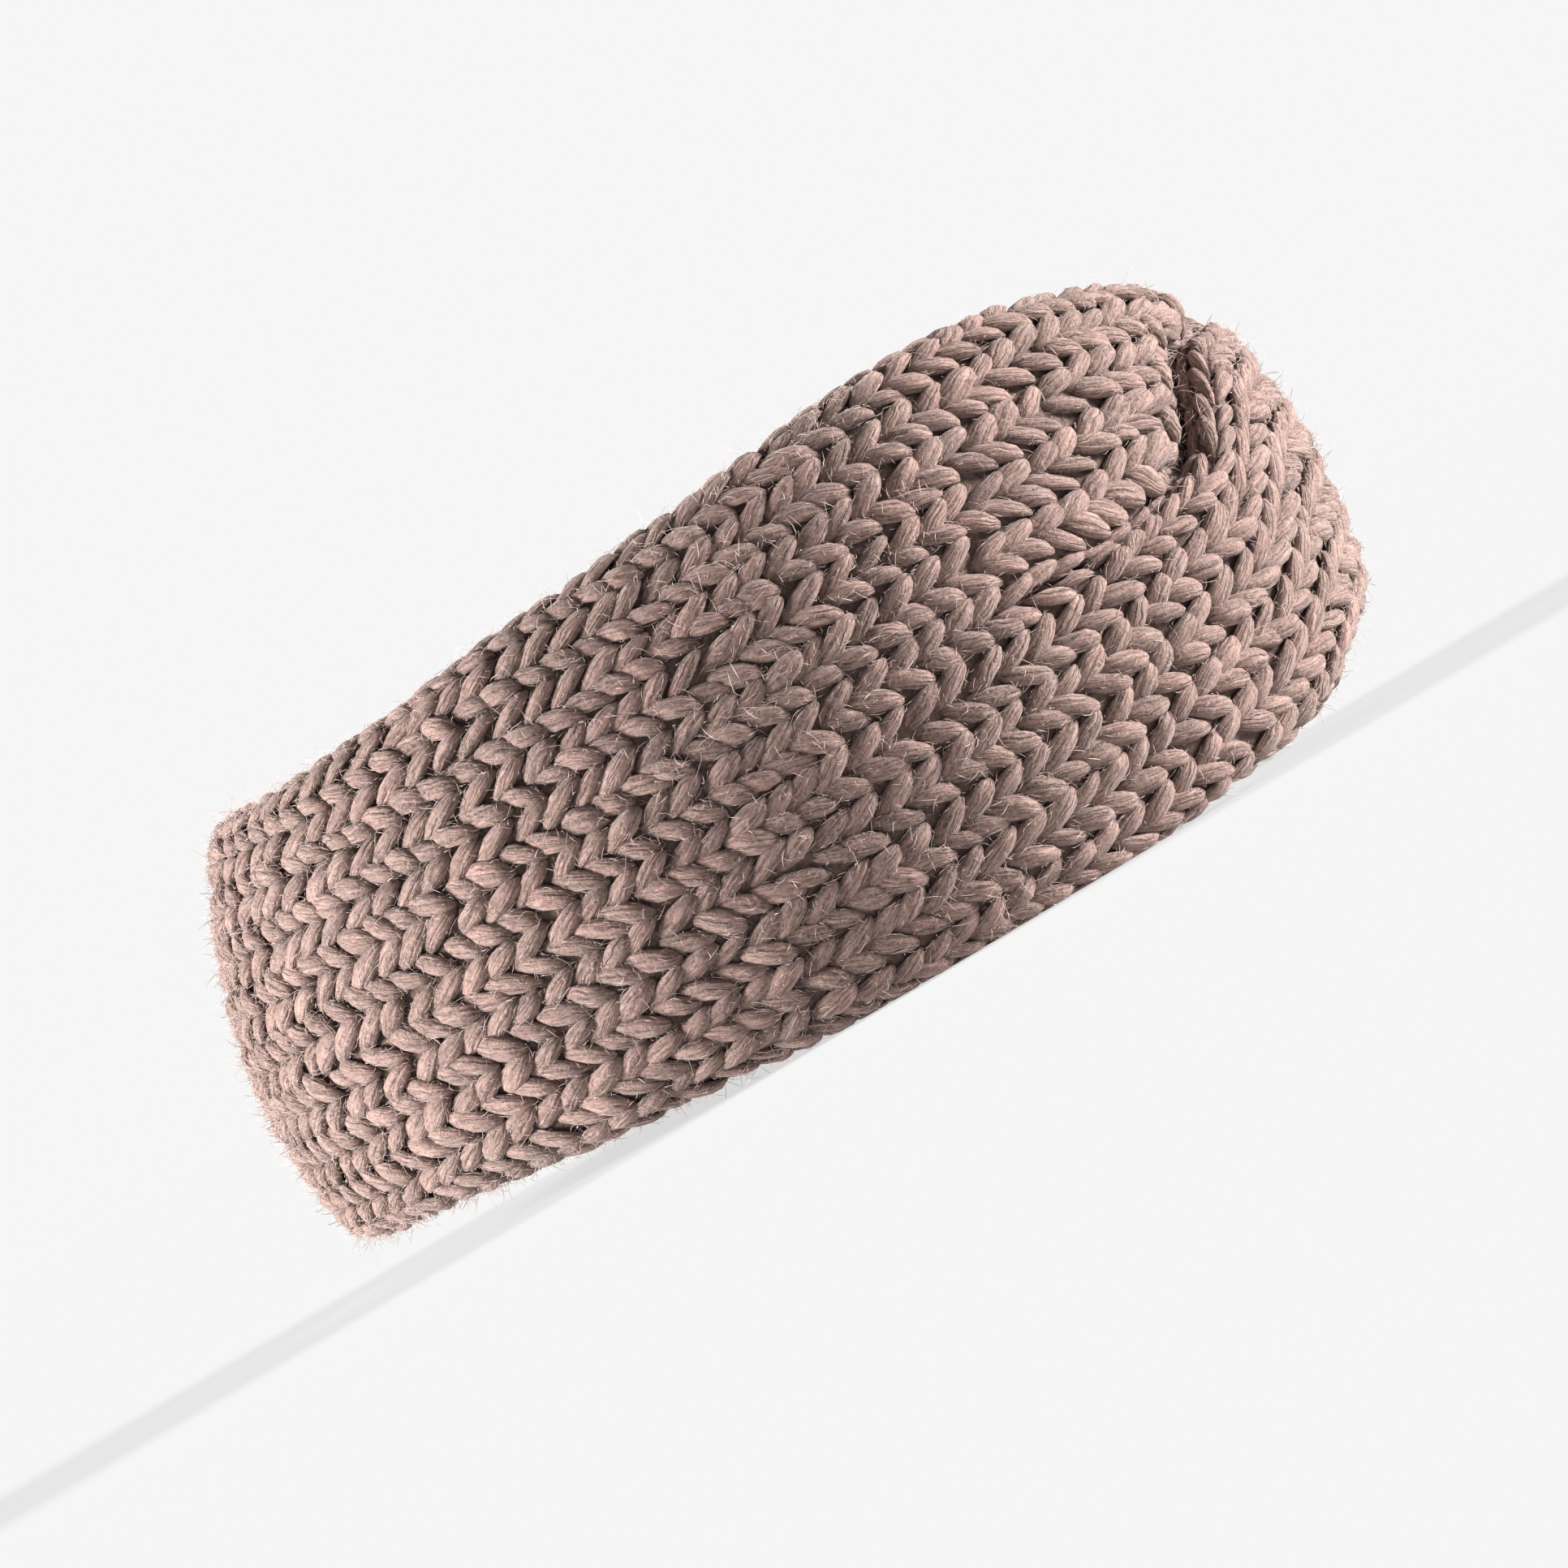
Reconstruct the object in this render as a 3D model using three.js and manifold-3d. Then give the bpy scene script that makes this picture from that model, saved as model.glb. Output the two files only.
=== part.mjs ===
// A twisted headband, knitted in chunky yarn as one flat tube, in millimetres.
// The tube goes round the head. At the forehead its lower half on the wearer's right rises over its
// upper half, which passes behind, so that the two halves have changed places on the wearer's left.
//
// +X is the forehead, -Y the wearer's right and +Z up. The lower rim rests on Z = 0, and the origin lies
// there below the middle of the headband.

import * as THREE from 'three';
import { mergeVertices } from 'three/addons/utils/BufferGeometryUtils.js';
import Module from 'manifold-3d';

const wasm = await Module();
wasm.setup();

// Driving dimensions.
const LENGTH = 204.6;          // forehead to back of the head, over the outside
const BREADTH = 168;           // side to side, over the outside
const GROOVE_HEIGHT = 42;      // the groove halfway up the band, above the surface that it rests on
const TUBE_THICKNESS = 11;     // both layers of the flat tube at the sides and back
const STRAP_THICKNESS = 8.4;   // both layers where the tube is pulled into the twist
const TWIST_ANGLE = 65;        // where the two halves part, each way from the middle of the forehead
const ROLLED_ANGLE = 50;       // where each half has rolled into a strap of its own
const PIECE_GAP = 0.35;        // clearance between the pieces

// A table of sections, as one object for each row, from its columns' names and its rows of numbers.
function table(columns, ...rows) {
  return rows.map((row) => Object.fromEntries(columns.split(' ').map((name, i) => [name, row[i]])));
}

// Heights in these tables are above the groove. fullest is the height where the outside stands out most,
// and round is the radius of its bulge from top to bottom.
// The band, by angle from the middle of the forehead, alike on both sides of the head.
const BAND_SECTIONS = table(
  'angle top bottom fullest round',
  [65, 45.8, -42.4, -1, 100],
  [77, 44.0, -42.6, -4, 88],
  [92, 41.7, -42.6, -7, 78],
  [107, 40.3, -40.6, -9, 75],
  [124, 38.2, -38.5, -11, 75],
  [145, 36.8, -35.7, -12, 75],
  [180, 38.0, -34.0, -13, 75],
);

// The two straps of the twist, by angle from the middle of the forehead, below zero on the wearer's right.
// lift is how far the over strap stands out from the band's curve.
const TWIST_SECTIONS = table(
  'angle overTop overBottom underTop underBottom fullest round lift',
  [-65, 0.0, -42.4, 45.8, 0.0, -1, 100, 0.0],
  [-52, 2.6, -41.0, 45.8, 0.2, 1, 98, 1.2],
  [-41, 5.2, -39.2, 43.8, 1.0, 3, 95, 2.4],
  [-36, 8.3, -37.8, 42.4, 0.5, 3, 95, 3.0],
  [-31, 15.2, -35.6, 41.0, -0.5, 3, 95, 3.0],
  [-25, 23.5, -32.4, 39.0, -3.0, 3, 95, 2.6],
  [-17, 25.0, -29.0, 35.0, -8.0, 3, 92, 1.4],
  [0, 26.5, -26.0, 20.5, -20.5, 2, 88, 0.0],
  [17, 32.0, -25.0, 8.0, -35.0, 2, 92, 1.4],
  [25, 37.5, -23.5, 3.0, -39.0, 2, 95, 2.6],
  [31, 41.0, -15.2, 0.5, -40.5, 2, 95, 3.0],
  [36, 42.6, -8.3, -0.5, -41.5, 2, 95, 3.0],
  [41, 44.0, -5.2, -1.0, -42.2, 2, 95, 2.4],
  [52, 45.8, -2.6, -0.2, -42.4, 1, 98, 1.2],
  [65, 45.8, 0.0, 0.0, -42.4, -1, 100, 0.0],
);

// How finely the solids are faceted.
const BAND_STEP = 6;
const OVER_STEP = 2.5;
const UNDER_STEP = 1.8;
const BAND_SIDES = 32;
const OVER_SIDES = 24;
const UNDER_SIDES = 26;
const SPINE_STEPS = 20;
const EDGE_DENSITY = 0.6;

// The over strap presses the under strap in, and less and less until this far past its own edge.
// It presses fully only where it covers this much or more of the under strap.
const PRESS_REACH = 6.0;
const PRESS_COVER = 8.0;

// Along the plan oval, on average.
const MILLIMETRES_PER_DEGREE = (Math.PI * (LENGTH + BREADTH)) / 2 / 360;

function smoothstep(low, high, value) {
  const t = Math.min(1, Math.max(0, (value - low) / (high - low)));
  return t * t * (3 - 2 * t);
}

// A table's column at an angle, on a smooth curve through its rows.
function readColumn(rows, column, angle) {
  const last = rows.length - 1;
  const slope = (i) => {
    const a = rows[Math.max(0, i - 1)];
    const b = rows[Math.min(last, i + 1)];
    return (b[column] - a[column]) / (b.angle - a.angle);
  };
  let i = 0;
  while (i < last - 1 && angle > rows[i + 1].angle) i += 1;
  const span = rows[i + 1].angle - rows[i].angle;
  const t = Math.min(1, Math.max(0, (angle - rows[i].angle) / span));
  const t2 = t * t;
  const t3 = t2 * t;
  return (2 * t3 - 3 * t2 + 1) * rows[i][column]
    + (t3 - 2 * t2 + t) * span * slope(i)
    + (3 * t2 - 2 * t3) * rows[i + 1][column]
    + (t3 - t2) * span * slope(i + 1);
}

// How much longer an edge of the over strap is than the way round the head that it covers, where the
// edge climbs.
function steepness(column, angle) {
  const a = readColumn(TWIST_SECTIONS, column, Math.max(-TWIST_ANGLE, angle - 5));
  const b = readColumn(TWIST_SECTIONS, column, Math.min(TWIST_ANGLE, angle + 5));
  return Math.hypot(1, (b - a) / (10 * MILLIMETRES_PER_DEGREE));
}

// How far the over strap presses the under strap in, at an angle and a height above the groove.
function pressedIn(angle, z) {
  const at = (column) => readColumn(TWIST_SECTIONS, column, angle);
  const above = (z - at('overTop')) / steepness('overTop', angle);
  const below = (at('overBottom') - z) / steepness('overBottom', angle);
  const away = smoothstep(0, PRESS_REACH, Math.max(above, below));
  const cover = Math.min(at('overTop') - at('underBottom'), at('underTop') - at('overBottom'));
  return (STRAP_THICKNESS + PIECE_GAP - at('lift')) * (1 - away) * smoothstep(0, PRESS_COVER, cover);
}

// The tube's or a strap's cross-section at an angle: the line through the middle of its thickness, from
// its top to its bottom, as points (out from the plan oval, height above the groove).
function spineOf(piece, angle) {
  const inTwist = Math.abs(angle) <= TWIST_ANGLE;
  const rows = inTwist ? TWIST_SECTIONS : BAND_SECTIONS;
  const at = (column) => readColumn(rows, column, inTwist ? angle : Math.abs(angle));
  let top;
  let bottom;
  if (piece === 'over') {
    top = at('overTop');
    bottom = at('overBottom');
  } else if (piece === 'under') {
    top = at('underTop');
    bottom = at('underBottom');
  } else if (inTwist) {
    top = Math.max(at('underTop'), at('overTop'));
    bottom = Math.min(at('underBottom'), at('overBottom'));
  } else {
    top = at('top');
    bottom = at('bottom');
  }
  const thickness = piece === 'band' ? TUBE_THICKNESS : STRAP_THICKNESS;
  const fullest = at('fullest');
  const round = at('round');
  const spine = [];
  for (let i = 0; i <= SPINE_STEPS; i += 1) {
    const z = top - thickness / 2 - (top - bottom - thickness) * (i / SPINE_STEPS);
    let out = -((z - fullest) ** 2) / (2 * round) - thickness / 2;
    if (piece === 'over') out += at('lift');
    if (piece === 'under') out -= pressedIn(angle, z);
    spine.push(new THREE.Vector2(out, z));
  }
  return spine;
}

// A point on the outline that keeps half the thickness from the spine.
// share runs from 0 at the top edge, down the outside to 0.5 at the bottom edge, and up the inside to 1.
function outlinePoint(spine, radius, share) {
  const lengths = [0];
  for (let i = 1; i < spine.length; i += 1) {
    lengths.push(lengths[i - 1] + spine[i].distanceTo(spine[i - 1]));
  }
  const length = lengths[lengths.length - 1];
  const quarter = (Math.PI / 2) * radius;
  const whole = 2 * length + 4 * quarter;
  const wrapped = ((share % 1) + 1) % 1;
  const outside = wrapped <= 0.5;
  const walk = (outside ? wrapped : 1 - wrapped) * whole;
  const along = Math.min(length, Math.max(0, walk - quarter));
  let i = 0;
  while (i < spine.length - 2 && lengths[i + 1] < along) i += 1;
  const t = (along - lengths[i]) / (lengths[i + 1] - lengths[i]);
  const centre = spine[i].clone().lerp(spine[i + 1], t);
  const before = spine[Math.max(0, i - 1)];
  const after = spine[Math.min(spine.length - 1, i + 2)];
  const down = after.clone().sub(before).normalize();
  const out = new THREE.Vector2(-down.y, down.x);
  let turn = 0;
  if (walk < quarter) turn = (walk - quarter) / radius;
  if (walk > quarter + length) turn = (walk - quarter - length) / radius;
  const side = outside ? 1 : -1;
  return centre
    .addScaledVector(out, side * radius * Math.cos(turn))
    .addScaledVector(down, radius * Math.sin(turn));
}

// The point of a piece at an angle and a share of its outline. Near the twist's ends, a strap is still
// half of the flat tube, and it rolls into a shape of its own from TWIST_ANGLE to ROLLED_ANGLE.
function surfacePoint(piece, angle, share, grow = 0) {
  const radius = (piece === 'band' ? TUBE_THICKNESS : STRAP_THICKNESS) / 2 + grow;
  let point = outlinePoint(spineOf(piece, angle), radius, share);
  if (piece !== 'band') {
    const lowerHalf = (piece === 'over') === (angle < 0);
    const unrolled = smoothstep(ROLLED_ANGLE, TWIST_ANGLE, Math.abs(angle));
    const halfShare = lowerHalf ? 0.25 + 0.5 * share : 0.5 * (share < 0.5 ? share : share - 1);
    const flat = outlinePoint(spineOf('band', angle), TUBE_THICKNESS / 2 + grow, halfShare);
    point = point.lerp(flat, unrolled);
  }
  return point;
}

// From an angle, a distance out from the plan oval and a height above the groove to the headband's own
// frame. What would dip below the surface that it rests on is flattened there.
function place(angle, section) {
  const turn = THREE.MathUtils.degToRad(angle);
  const x = (LENGTH / 2) * Math.cos(turn);
  const y = (BREADTH / 2) * Math.sin(turn);
  const normal = new THREE.Vector2(Math.cos(turn) / LENGTH, Math.sin(turn) / BREADTH).normalize();
  return [x + section.x * normal.x, y + section.x * normal.y, Math.max(0, GROOVE_HEIGHT + section.y)];
}

// Shares close together round the top and bottom edges and far apart on the flats.
function shareOf(t) {
  return t - (EDGE_DENSITY * Math.sin(4 * Math.PI * t)) / (4 * Math.PI);
}

// A closed solid through a piece's cross-sections from one angle to another, with flat ends.
function loft(piece, from, to, step, sides, grow = 0) {
  const count = Math.max(2, Math.round(Math.abs(to - from) / step));
  const positions = [];
  for (let i = 0; i <= count; i += 1) {
    const angle = from + ((to - from) * i) / count;
    const wrapped = angle > 180 ? angle - 360 : angle;
    for (let j = 0; j < sides; j += 1) {
      positions.push(...place(wrapped, surfacePoint(piece, wrapped, shareOf((j + 0.5) / sides), grow)));
    }
  }
  const index = [];
  for (let i = 0; i < count; i += 1) {
    for (let j = 0; j < sides; j += 1) {
      const a = i * sides + j;
      const b = i * sides + ((j + 1) % sides);
      index.push(a, b, b + sides, a, b + sides, a + sides);
    }
  }
  for (let j = 1; j < sides - 1; j += 1) {
    index.push(0, j + 1, j);
    index.push(count * sides, count * sides + j, count * sides + j + 1);
  }
  const geometry = new THREE.BufferGeometry();
  geometry.setAttribute('position', new THREE.Float32BufferAttribute(positions, 3));
  geometry.setIndex(index);
  return mergeVertices(geometry);
}

function toManifold(geometry) {
  return new wasm.Manifold(new wasm.Mesh({
    numProp: 3,
    vertProperties: new Float32Array(geometry.attributes.position.array),
    triVerts: new Uint32Array(geometry.index.array),
  }));
}

function toGeometry(manifold) {
  const mesh = manifold.getMesh();
  const geometry = new THREE.BufferGeometry();
  geometry.setAttribute('position', new THREE.Float32BufferAttribute(mesh.vertProperties, 3));
  geometry.setIndex(Array.from(mesh.triVerts));
  return geometry;
}

// The largest of the bodies that a cut leaves.
function largest(manifold) {
  return manifold.decompose().sort((a, b) => b.volume() - a.volume())[0];
}

const halfGap = PIECE_GAP / 2 / MILLIMETRES_PER_DEGREE;

// The band goes from one side of the twist round the back of the head to the other.
function makeBand() {
  return loft('band', TWIST_ANGLE + halfGap, 360 - TWIST_ANGLE - halfGap, BAND_STEP, BAND_SIDES);
}

// The strap in front.
function makeTwistOver() {
  return loft('over', halfGap - TWIST_ANGLE, TWIST_ANGLE - halfGap, OVER_STEP, OVER_SIDES);
}

// The strap behind, clear of the one in front.
function makeTwistUnder() {
  const strap = loft('under', halfGap - TWIST_ANGLE, TWIST_ANGLE - halfGap, UNDER_STEP, UNDER_SIDES);
  const cutter = loft('over', -TWIST_ANGLE, TWIST_ANGLE, OVER_STEP, OVER_SIDES, 2 * PIECE_GAP);
  return toGeometry(largest(toManifold(strap).subtract(toManifold(cutter))));
}

const YARN = { color: 0xa98c84, roughness: 0.9, metalness: 0 };

function piece(name, geometry) {
  geometry.computeVertexNormals();
  const mesh = new THREE.Mesh(geometry, new THREE.MeshStandardMaterial(YARN));
  mesh.name = name;
  return mesh;
}

const headband = new THREE.Group();
headband.add(
  piece('band', makeBand()),
  piece('twist_over', makeTwistOver()),
  piece('twist_under', makeTwistUnder()),
);

export default headband;
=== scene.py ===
import math

import bpy
import numpy as np
from mathutils import Matrix


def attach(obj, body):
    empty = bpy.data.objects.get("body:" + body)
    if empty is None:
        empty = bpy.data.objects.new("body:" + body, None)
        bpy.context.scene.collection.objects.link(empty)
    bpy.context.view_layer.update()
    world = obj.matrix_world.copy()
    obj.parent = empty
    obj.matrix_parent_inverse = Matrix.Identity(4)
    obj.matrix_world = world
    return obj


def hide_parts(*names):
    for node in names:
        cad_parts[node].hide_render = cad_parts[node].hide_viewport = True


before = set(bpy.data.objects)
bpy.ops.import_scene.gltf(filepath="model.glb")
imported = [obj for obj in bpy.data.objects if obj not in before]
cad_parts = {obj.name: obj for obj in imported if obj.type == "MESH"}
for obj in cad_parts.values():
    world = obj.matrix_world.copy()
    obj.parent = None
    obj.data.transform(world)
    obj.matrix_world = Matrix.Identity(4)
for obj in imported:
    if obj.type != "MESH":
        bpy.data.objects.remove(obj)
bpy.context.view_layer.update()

MM = 0.001

# The headband's form, in millimetres and degrees, as in the part: the same sizes and tables.
LENGTH = 204.6
BREADTH = 168.0
GROOVE_HEIGHT = 42.0  # the groove halfway up the band, where the tables' heights start
TUBE_THICKNESS = 11.0
STRAP_THICKNESS = 8.4
TWIST_ANGLE = 65.0  # where the straps meet the band, on both sides
ROLLED_ANGLE = 50.0  # where each half of the tube has rolled into a strap of its own
PIECE_GAP = 0.35
PRESS_REACH = 6.0  # how far past the over strap's edges it still presses
PRESS_COVER = 8.0  # how much the straps overlap where it presses in full
STEEPNESS_REACH = 5.0  # to both sides, for the slope of the over strap's edges
SPINE_POINTS = 41


def table(columns, *rows):
    """A table as one array for each named column."""
    return dict(zip(columns.split(), np.array(rows, float).T))


BAND_SECTIONS = table(
    "angle top bottom fullest round",
    (65, 45.8, -42.4, -1, 100),
    (77, 44.0, -42.6, -4, 88),
    (92, 41.7, -42.6, -7, 78),
    (107, 40.3, -40.6, -9, 75),
    (124, 38.2, -38.5, -11, 75),
    (145, 36.8, -35.7, -12, 75),
    (180, 38.0, -34.0, -13, 75),
)
TWIST_SECTIONS = table(
    "angle overTop overBottom underTop underBottom fullest round lift",
    (-65, 0.0, -42.4, 45.8, 0.0, -1, 100, 0.0),
    (-52, 2.6, -41.0, 45.8, 0.2, 1, 98, 1.2),
    (-41, 5.2, -39.2, 43.8, 1.0, 3, 95, 2.4),
    (-36, 8.3, -37.8, 42.4, 0.5, 3, 95, 3.0),
    (-31, 15.2, -35.6, 41.0, -0.5, 3, 95, 3.0),
    (-25, 23.5, -32.4, 39.0, -3.0, 3, 95, 2.6),
    (-17, 25.0, -29.0, 35.0, -8.0, 3, 92, 1.4),
    (0, 26.5, -26.0, 20.5, -20.5, 2, 88, 0.0),
    (17, 32.0, -25.0, 8.0, -35.0, 2, 92, 1.4),
    (25, 37.5, -23.5, 3.0, -39.0, 2, 95, 2.6),
    (31, 41.0, -15.2, 0.5, -40.5, 2, 95, 3.0),
    (36, 42.6, -8.3, -0.5, -41.5, 2, 95, 3.0),
    (41, 44.0, -5.2, -1.0, -42.2, 2, 95, 2.4),
    (52, 45.8, -2.6, -0.2, -42.4, 1, 98, 1.2),
    (65, 45.8, 0.0, 0.0, -42.4, -1, 100, 0.0),
)
MM_PER_DEGREE = math.pi * (LENGTH + BREADTH) / 2 / 360

# How finely the form is sampled for the stitches, in degrees and in points down one side.
FORM_STEP = 0.5
FORM_MARGIN = 6.0  # past the seams, for the stitches that lie over them
FORM_HALF = 181
SHARE_MARGIN = 1e-6
LAST_CELL = 1.000001  # keeps a reading inside the last cell of a grid

# Where the under strap is pressed in, its inside is smoothed, but not near its edges.
ROUNDING_STEPS = 220
ROUNDING_RATE = 0.25
ROUNDING_EDGES = (12, 32)

# The knit: wales run along the band and rows across it.
BAND_WALES = 24
STRAP_WALES = 12
ROW_PITCH = 5.65
BACK_ANGLES = (86, 165)
BACK_WIDENING = 0.27  # how much wider the outside wales are at the back, where some turn in
BACK_STRETCH = 0.14  # how much longer the stitches are there
YARN_RADIUS = 1.5
YARN_DEPTH = 1.05  # from the form's surface down to the middle of the yarn
FULL_WALE = 7.5  # the wale's width at which a leg has its full thickness
LEG_ROOM = (0.6, 1.12)  # how much a narrow or wide wale changes that thickness
TRACK_STEP = 0.25
WIDTH_REACH = 0.3  # in wales, to both sides of a wale's middle
WALE_DRIFT = dict(wave=60.0, size=0.14)  # the size is a share of a wale
ROW_DRIFT = dict(wave=35.0, size=1.1)
DRIFT_WAVES = 3
DRIFT_PULLS = (0.5, 1.0)
DRIFT_GROWTH = 0.6  # how much longer each wave is than the one before, as a share of the first
ROW_SPREAD = 0.07
LEG_SEED = 500
ROW_SEED = 900
EDGE_TURN = (ROLLED_ANGLE - 8, TWIST_ANGLE - 4)  # where a wale turns onto a strap's top edge
EDGE_MARGIN = 1e-4

# The closed bodies that stand for the hidden part of the loops.
GROUND_DEPTH = 2.1
GROUND_STEP = 2.5
SEAM_GAP = 0.03

# One leg of a stitch, from its closed end, which lies on top, to where it goes under its
# neighbour. along is in rows, across in wales from the middle of its wale, high and wide in
# yarn radii.
LEG = table(
    "along across high wide",
    (0.70, 0.035, -0.70, 0.00),
    (0.60, 0.066, -0.16, 0.46),
    (0.43, 0.125, 0.14, 0.82),
    (0.17, 0.205, 0.17, 1.04),
    (-0.13, 0.295, -0.03, 1.12),
    (-0.42, 0.385, -0.32, 1.06),
    (-0.70, 0.462, -0.70, 0.84),
    (-0.93, 0.520, -1.20, 0.00),
)
LEG_FLATTENING = 0.62
LEAN_CENTRE = 0.1
LUMP_SPREAD = 0.05
# The painted shade in the gaps: the yarn's colour grows darker from its top down to the bottom of
# the gaps, between these heights.
GAP_SHADE_HEIGHTS = (-1.9, 0.45)  # from the bottom of the gaps between stitches to the yarn's top
RING_TURNS = np.radians([-35, 5, 45, 85, 125, 165, 210, 270])
TOP_TURNS = 6  # the first of them, which show

# How much the legs differ: the mean and spread of their thickness, length, reach across the
# wale, height, place along the wale, slant and bow.
LEG_VARIETY = (
    (1.0, 0.09),
    (1.0, 0.08),
    (1.0, 0.06),
    (0.0, 0.20),
    (0.0, 0.055),
    (0.0, 0.045),
    (0.0, 0.20),
)

# Each leg reads the yarn's pattern at its own place on a large grid.
PATTERN_LENGTH = 7.8
PATTERN_SPACING = 9.0
PATTERN_SCALE = 0.01
PATTERN_COLUMNS = 997
PATTERN_ROWS = 311
PATTERN_SHUFFLE = 7919
TONE_SHUFFLE = 7.13

# The loose fibres. A spread is that of the sizes' logarithm.
SHORT_FIBRES = dict(rings=1, length=1.7, height=0.30)
LONG_FIBRES = dict(rings=2, length=2.7, height=0.32)
FIBRES_EVERYWHERE = 0.6  # more of them stand off where the band bends most
FIBRE_LENGTHS = dict(spread=0.35, least=0.8, most=4.5)
FIBRE_HEIGHTS = dict(spread=0.45, least=0.05, most=0.8)
FIBRE_VEER = 1.1
FIBRE_CURL = 0.42
FIBRE_DROOP = (0.2, 1.0)
FIBRE_RADII = (0.034, 0.058)
FIBRE_ROOT_DEPTH = 0.1
FIBRE_LOOK_AHEAD = 0.05
FIBRE_TILT = 0.3
THIRDS_OF_A_TURN = (0.0, 2.0944, 4.1888)

FLOOR_CLEARANCE = 0.0002  # in metres


def smoothstep(low, high, value):
    t = np.clip((np.asarray(value, float) - low) / (high - low), 0, 1)
    return t * t * (3 - 2 * t)


def unit(vectors):
    return vectors / np.maximum(np.linalg.norm(vectors, axis=-1, keepdims=True), 1e-9)


def read_column(rows, column, angle):
    """A table's column at an angle, on a smooth curve through its rows."""
    a, y = rows["angle"], rows[column]
    slope = (np.append(y[1:], y[-1]) - np.append(y[0], y[:-1])) / (
        np.append(a[1:], a[-1]) - np.append(a[0], a[:-1])
    )
    i = int(np.clip(np.searchsorted(a, angle, "right") - 1, 0, len(a) - 2))
    span = a[i + 1] - a[i]
    t = min(1.0, max(0.0, (angle - a[i]) / span))
    return (
        (2 * t**3 - 3 * t**2 + 1) * y[i]
        + (t**3 - 2 * t**2 + t) * span * slope[i]
        + (3 * t**2 - 2 * t**3) * y[i + 1]
        + (t**3 - t**2) * span * slope[i + 1]
    )


def steepness(column, angle):
    """How much longer an edge of the over strap is than the way round the head that it covers."""
    a = read_column(TWIST_SECTIONS, column, max(-TWIST_ANGLE, angle - STEEPNESS_REACH))
    b = read_column(TWIST_SECTIONS, column, min(TWIST_ANGLE, angle + STEEPNESS_REACH))
    return math.hypot(1, (b - a) / (2 * STEEPNESS_REACH * MM_PER_DEGREE))


def pressed_in(angle, z):
    """How far the over strap presses the under strap in."""
    over_top, over_bottom, under_top, under_bottom, lift = (
        read_column(TWIST_SECTIONS, column, angle)
        for column in ("overTop", "overBottom", "underTop", "underBottom", "lift")
    )
    above = (z - over_top) / steepness("overTop", angle)
    below = (over_bottom - z) / steepness("overBottom", angle)
    away = smoothstep(0, PRESS_REACH, np.maximum(above, below))
    cover = smoothstep(0, PRESS_COVER, min(over_top - under_bottom, under_top - over_bottom))
    return (STRAP_THICKNESS + PIECE_GAP - lift) * (1 - away) * cover


def spine_of(piece, angle):
    """The line down the middle of a piece's thickness, as (out from the plan oval, height)."""
    in_twist = abs(angle) <= TWIST_ANGLE
    rows = TWIST_SECTIONS if in_twist else BAND_SECTIONS

    def at(column):
        return read_column(rows, column, angle if in_twist else abs(angle))

    if piece == "over":
        top, bottom = at("overTop"), at("overBottom")
    elif piece == "under":
        top, bottom = at("underTop"), at("underBottom")
    elif in_twist:
        top = max(at("underTop"), at("overTop"))
        bottom = min(at("underBottom"), at("overBottom"))
    else:
        top, bottom = at("top"), at("bottom")
    thickness = TUBE_THICKNESS if piece == "band" else STRAP_THICKNESS
    z = np.linspace(top - thickness / 2, bottom + thickness / 2, SPINE_POINTS)
    out = -((z - at("fullest")) ** 2) / (2 * at("round")) - thickness / 2
    if piece == "over":
        out = out + at("lift")
    if piece == "under":
        out = out - pressed_in(angle, z)
    return out, z


def outline_points(spine, radius, share):
    """Points round a spine: share 0 is the top edge, then down the outside, and up the inside."""
    out, z = spine
    lengths = np.append(0, np.cumsum(np.hypot(np.diff(out), np.diff(z))))
    length = lengths[-1]
    quarter = math.pi / 2 * radius
    wrapped = np.mod(share, 1.0)
    outside = wrapped <= 0.5
    walk = np.where(outside, wrapped, 1 - wrapped) * (2 * length + 4 * quarter)
    along = np.clip(walk - quarter, 0, length)
    down_out = np.interp(along, lengths, np.gradient(out, lengths))
    down_z = np.interp(along, lengths, np.gradient(z, lengths))
    norm = np.hypot(down_out, down_z)
    down_out, down_z = down_out / norm, down_z / norm
    before, after = np.minimum(walk - quarter, 0), np.maximum(walk - quarter - length, 0)
    turn = before / radius + after / radius
    side = np.where(outside, 1.0, -1.0) * radius * np.cos(turn)
    fall = radius * np.sin(turn)
    return (
        np.interp(along, lengths, out) - side * down_z + fall * down_out,
        np.interp(along, lengths, z) + side * down_out + fall * down_z,
    )


def section(piece, angle, share, grow=0.0):
    """A piece's cross-section. Near the twist's ends a strap is still half of the flat tube."""
    if piece == "band":
        return outline_points(spine_of(piece, angle), TUBE_THICKNESS / 2 + grow, share)
    held = min(TWIST_ANGLE, max(-TWIST_ANGLE, angle))
    out, z = outline_points(spine_of(piece, held), STRAP_THICKNESS / 2 + grow, share)
    # The inside ends of the half shares stay apart, so the two layers don't swap at the fold.
    if (piece == "over") == (angle < 0):
        half = 0.25 + 0.5 * share
    else:
        half = 0.5 * np.where(share < 0.5, share, share - 1)
    flat_out, flat_z = outline_points(spine_of("band", angle), TUBE_THICKNESS / 2 + grow, half)
    unrolled = smoothstep(ROLLED_ANGLE, TWIST_ANGLE, abs(angle))
    return out + (flat_out - out) * unrolled, z + (flat_z - z) * unrolled


def place(angle, out, z):
    """From a cross-section to the headband's frame, in millimetres."""
    turn = math.radians(angle)
    normal = np.array([math.cos(turn) / LENGTH, math.sin(turn) / BREADTH])
    normal /= np.linalg.norm(normal)
    x = LENGTH / 2 * math.cos(turn) + out * normal[0]
    y = BREADTH / 2 * math.sin(turn) + out * normal[1]
    return np.stack([x, y, GROOVE_HEIGHT + z], -1)


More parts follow.
